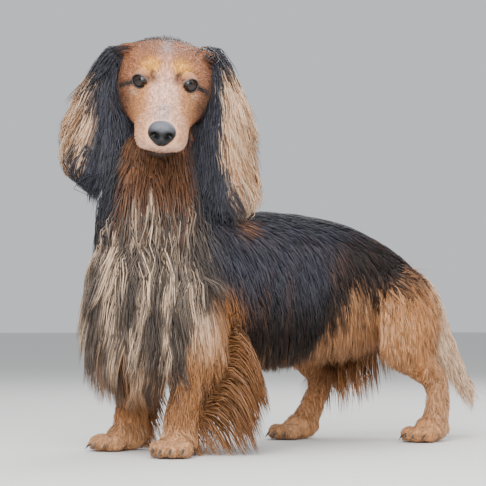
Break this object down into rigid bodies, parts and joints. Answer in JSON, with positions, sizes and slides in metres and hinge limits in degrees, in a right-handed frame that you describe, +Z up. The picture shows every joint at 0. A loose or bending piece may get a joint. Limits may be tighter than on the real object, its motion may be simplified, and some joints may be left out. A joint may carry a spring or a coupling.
{
  "type": "long-haired dachshund",
  "caption": "Life-size still model of a standing long-haired dachshund, head raised and turned to its left, for display on a floor or plinth.",
  "frame": {"origin": "on the floor under the middle of the dog's bounding box", "axes": "+Z up, the dog's chest faces -Y, its tail +Y, its left side +X"},
  "size_m": [0.186, 0.5118, 0.409],
  "materials": {
    "red_coat": "short glossy red-brown hair",
    "black_coat": "long glossy black hair",
    "grizzled_coat": "long wavy cream, brown and black hair",
    "tan_coat": "long tan hair",
    "cream_coat": "long cream hair",
    "nose_leather": "moist black pebbled nose",
    "eye": "clear wet cornea over a dark brown iris"
  },
  "bodies": {
    "root": {"head": "red_coat", "lower_jaw": "red_coat", "nose": "nose_leather", "eye_left": "eye", "eye_right": "eye", "ear_left": "black_coat", "ear_right": "black_coat", "neck": "grizzled_coat", "chest": "grizzled_coat", "barrel": "black_coat", "rump": "tan_coat", "tail": "cream_coat", "foreleg_left": "tan_coat", "foreleg_right": "tan_coat", "hindleg_left": "tan_coat", "hindleg_right": "tan_coat", "forepaw_left": "tan_coat", "forepaw_right": "tan_coat", "hindpaw_left": "tan_coat", "hindpaw_right": "tan_coat"}
  },
  "joints": []
}
